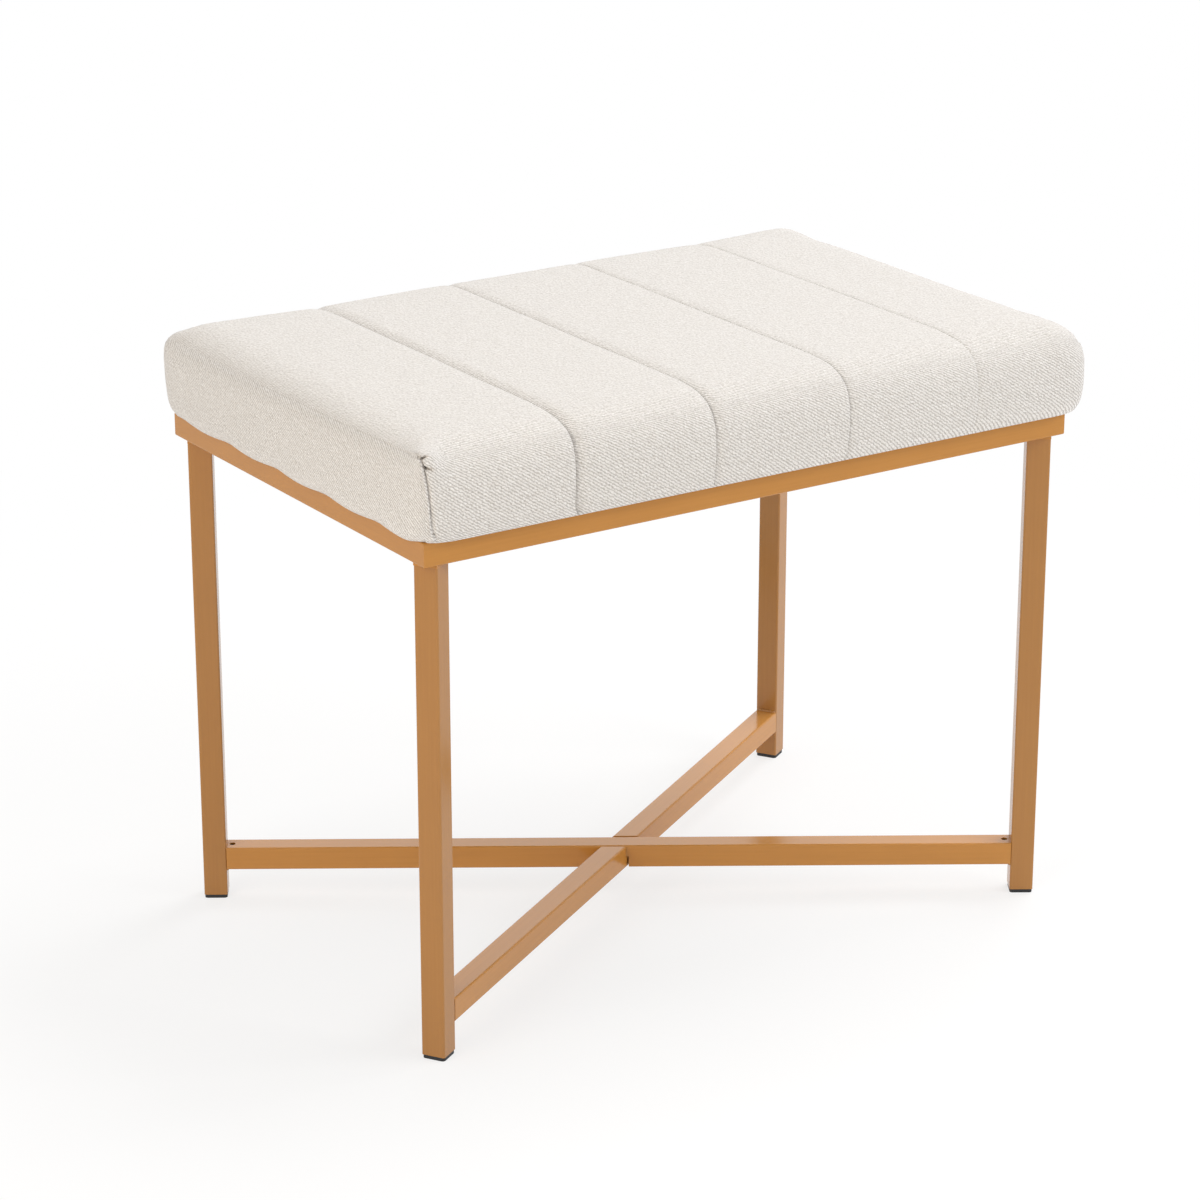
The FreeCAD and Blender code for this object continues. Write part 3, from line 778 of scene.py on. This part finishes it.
def seat_cushion(material):
    """The cushion: blown up, sewn in channels and along its corners, and set in place."""
    bm = cushion_block()
    lay_weave(bm)
    note_pattern(bm)
    round_over(bm)
    piece = new_piece("seat_cushion", bm, material)
    swell(piece)
    bm = subdivided(piece)
    for press in (press_channel_seam, press_end_seam, hang_scallop, ease):
        sculpt(bm, press)
    sew_corners(bm)
    bm.verts.layers.float_vector.remove(bm.verts.layers.float_vector["pattern"])
    bmesh.ops.translate(bm, vec=(SEAT_SHIFT, 0, 0), verts=bm.verts)
    bm.to_mesh(piece.data)
    bm.free()
    for face in piece.data.polygons:
        face.use_smooth = True
    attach(piece, "root")
    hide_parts("seat_cover", "seat_wadding", "seat_foam")


def dust_sheet(material):
    """The black cloth stapled under the seat, a little slack in the middle."""
    low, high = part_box("dust_cover")
    half = (high - low) / 2
    bm = bmesh.new()
    bmesh.ops.create_grid(bm, x_segments=1, y_segments=1, size=1)
    bmesh.ops.scale(bm, vec=(half.x, half.y, 1), verts=bm.verts)
    bmesh.ops.translate(bm, vec=(0, 0, high.z), verts=bm.verts)
    bmesh.ops.bevel(bm, geom=bm.verts[:], affect="VERTICES", offset=DUST_CORNER, segments=4,
                    profile=0.5, material=-1)
    cut_loops(bm, 0, evenly(-half.x, half.x, DUST_PITCH))
    cut_loops(bm, 1, evenly(-half.y, half.y, DUST_PITCH))
    for vert in bm.verts:
        slack_x = max(0, 1 - (vert.co.x / (half.x - DUST_STAPLED)) ** 2)
        slack_y = max(0, 1 - (vert.co.y / (half.y - DUST_STAPLED)) ** 2)
        ripple = 1 + DUST_RIPPLE * noise.noise(vert.co / DUST_RIPPLE_SIZE)
        vert.co.z -= DUST_SAG * slack_x * slack_y * ripple
    bmesh.ops.solidify(bm, geom=bm.faces[:], thickness=high.z - low.z)
    bmesh.ops.recalc_face_normals(bm, faces=bm.faces)
    piece = new_piece("dust_cloth", bm, material)
    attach(piece, "root")
    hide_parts("dust_cover")


def weld_bead(bm, middle, along, length):
    """A rippled round bead, thinner at its two ends."""
    shape = bmesh.ops.create_cone(bm, cap_ends=True, segments=WELD_SIDES, radius1=WELD_RADIUS,
                                  radius2=WELD_RADIUS, depth=length)
    faces = list(dict.fromkeys(face for vert in shape["verts"] for face in vert.link_faces))
    for place in evenly(-length / 2, length / 2, WELD_RIPPLE / 4):
        faces = cut_faces(bm, faces, Vector((0, 0, place)), Vector((0, 0, 1)))
    verts = list(dict.fromkeys(vert for face in faces for vert in face.verts))
    for vert in verts:
        from_end = length / 2 - abs(vert.co.z)
        taper = min(1, WELD_END + (1 - WELD_END) * from_end / WELD_RIPPLE)
        ripple = 1 + WELD_ROUGHNESS * math.cos(math.tau * vert.co.z / WELD_RIPPLE)
        vert.co.x *= taper * ripple
        vert.co.y *= taper * ripple
    turn = Vector((0, 0, 1)).rotation_difference(along).to_matrix()
    bmesh.ops.rotate(bm, cent=(0, 0, 0), matrix=turn, verts=verts)
    bmesh.ops.translate(bm, vec=middle, verts=verts)


def stretcher_welds(material):
    """Painted beads where the stretchers meet the legs: below both, and above the lower one."""
    low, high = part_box("stretcher_upper")
    tube = high.z - low.z
    bm = bmesh.new()
    for side in ("front", "back"):
        for end in ("left", "right"):
            leg_low, leg_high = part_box(f"leg_{side}_{end}")
            leg = (leg_low + leg_high) / 2
            inward = -Vector((leg.x, leg.y, 0)).normalized()
            across = Vector((-inward.y, inward.x, 0))
            vented = (side == "front") == (end == "right")
            for height in (low.z,) if vented else (low.z, high.z):
                middle = Vector((leg.x, leg.y, height)) + inward * tube / 2
                weld_bead(bm, middle, across, tube - WELD_RADIUS)
    piece = new_piece("stretcher_welds", bm, material)
    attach(piece, "root")


def paint_node(name, material):
    """Gives a carried-over part its finish."""
    mesh = nodes[name].data
    mesh.materials.clear()
    mesh.materials.append(material)


def floor_finish():
    """White floor that keeps the bench's soft shadow."""
    material = bpy.data.materials.new("floor_white")
    material.use_nodes = True
    tree = material.node_tree
    tree.nodes.remove(tree.nodes["Principled BSDF"])
    matt = tree.nodes.new("ShaderNodeBsdfDiffuse")
    matt.inputs["Color"].default_value = (FLOOR_WHITE, FLOOR_WHITE, FLOOR_WHITE, 1)
    glow = tree.nodes.new("ShaderNodeEmission")
    blend = tree.nodes.new("ShaderNodeMixShader")
    seen = background_rays(tree)
    spot = tree.nodes.new("ShaderNodeTexCoord")
    distance = tree.nodes.new("ShaderNodeVectorMath")
    distance.operation = "LENGTH"
    fade = tree.nodes.new("ShaderNodeMapRange")
    fade.interpolation_type = "SMOOTHSTEP"
    for socket, value in enumerate((FLOOR_GLOW_FROM, FLOOR_GLOW_TO, FLOOR_GLOW_NEAR, 1.0), start=1):
        fade.inputs[socket].default_value = value
    share = tree.nodes.new("ShaderNodeMath")
    share.operation = "MULTIPLY"
    tree.links.new(spot.outputs["Object"], distance.inputs[0])
    tree.links.new(distance.outputs["Value"], fade.inputs[0])
    tree.links.new(fade.outputs[0], share.inputs[0])
    tree.links.new(seen, share.inputs[1])
    tree.links.new(share.outputs[0], blend.inputs[0])
    tree.links.new(matt.outputs[0], blend.inputs[1])
    tree.links.new(glow.outputs[0], blend.inputs[2])
    tree.links.new(blend.outputs[0], tree.nodes["Material Output"].inputs["Surface"])
    return material


def background_rays(tree):
    """1 for the rays that show the white background: camera, glossy and transmission rays."""
    path = tree.nodes.new("ShaderNodeLightPath")
    total = path.outputs["Is Camera Ray"]
    for ray in ("Is Glossy Ray", "Is Transmission Ray"):
        larger = tree.nodes.new("ShaderNodeMath")
        larger.operation = "MAXIMUM"
        tree.links.new(total, larger.inputs[0])
        tree.links.new(path.outputs[ray], larger.inputs[1])
        total = larger.outputs[0]
    return total


def studio():
    """The white floor, the white surround and the softboxes."""
    bm = bmesh.new()
    bmesh.ops.create_grid(bm, x_segments=1, y_segments=1, size=FLOOR_SIZE / 2)
    mesh = bpy.data.meshes.new("floor")
    bm.to_mesh(mesh)
    bm.free()
    mesh.materials.append(floor_finish())
    floor = bpy.data.objects.new("floor", mesh)
    scene.collection.objects.link(floor)

    world = bpy.data.worlds.new("white_surround")
    scene.world = world
    world.use_nodes = True
    tree = world.node_tree
    strength = tree.nodes.new("ShaderNodeMapRange")
    strength.inputs[3].default_value = SURROUND_LIGHT
    strength.inputs[4].default_value = 1.0
    tree.links.new(background_rays(tree), strength.inputs[0])
    background = tree.nodes["Background"]
    background.inputs["Color"].default_value = (1, 1, 1, 1)
    tree.links.new(strength.outputs[0], background.inputs["Strength"])

    for name, settings in SOFTBOXES.items():
        soft_lamp(name, *settings)


def soft_lamp(name, place, size, power, colour):
    """A square softbox that faces the middle of the bench."""
    light = bpy.data.lights.new(name, "AREA")
    light.size = size
    light.energy = power
    light.color = colour
    lamp = bpy.data.objects.new(name, light)
    lamp.location = place
    aim = Vector((0, 0, SEAT_BOTTOM)) - lamp.location
    lamp.rotation_euler = aim.to_track_quat("-Z", "Y").to_euler()
    scene.collection.objects.link(lamp)


def photo_camera():
    """The camera of the photograph, without its shift."""
    data = bpy.data.cameras.new("photo_camera")
    data.lens = CAMERA_LENS
    camera = bpy.data.objects.new("photo_camera", data)
    camera.location = CAMERA_PLACE
    camera.rotation_euler = (math.radians(90 - CAMERA_PITCH), 0, math.radians(-CAMERA_YAW))
    scene.collection.objects.link(camera)
    scene.camera = camera


def finish_frame():
    """The finishes of the frame, feet, fasteners and board."""
    low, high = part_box("leg_back_right")
    leg = (low + high) / 2
    diagonal = math.atan2(leg.y, leg.x)
    # One lacquer in lit and shaded copies: shade is painted shade, deepest on the legs under the
    # seat, and it carries over to the plates, gussets and welds
    along_x = gold_lacquer("gold_lacquer_rails", (0, 0, 0), shade=0.93)
    along_y = gold_lacquer("gold_lacquer_cross_rails", (0, 0, math.pi / 2), shade=0.87)
    upright = gold_lacquer("gold_lacquer_legs", (0, math.pi / 2, 0), shade=0.75, gloss=1.55)
    stretcher_shade_and_gloss = {"shade": 0.97, "gloss": 1.44}
    rising = gold_lacquer("gold_lacquer_lower_stretcher", (0, 0, -diagonal), **stretcher_shade_and_gloss)
    falling = gold_lacquer("gold_lacquer_upper_stretcher", (0, 0, diagonal), **stretcher_shade_and_gloss)
    black = moulded_black()
    bright = zinc_plate("zinc_plate", 1.0)
    wire = zinc_plate("staple_wire", 0.85)
    for side in ("front", "back"):
        paint_node(f"seat_rail_{side}", along_x)
        for end in ("left", "right"):
            paint_node(f"corner_gusset_{side}_{end}", along_x)
            paint_node(f"leg_{side}_{end}", upright)
            paint_node(f"leg_plate_{side}_{end}", along_x)
            paint_node(f"foot_cap_{side}_{end}", black)
    for end in ("left", "right"):
        paint_node(f"seat_rail_{end}", along_y)
    paint_node("stretcher_upper", falling)
    paint_node("stretcher_lower", rising)
    for fastener in ("leg_bolts", "leg_washers", "gusset_nuts", "seat_screws"):
        paint_node(fastener, bright)
    paint_node("cover_staples", wire)
    paint_node("seat_board", plywood())
    stretcher_welds(upright)
    dust_sheet(dust_felt())


scene.view_settings.view_transform = "Standard"
photo_camera()
studio()
finish_frame()
seat_cushion(ivory_twill())
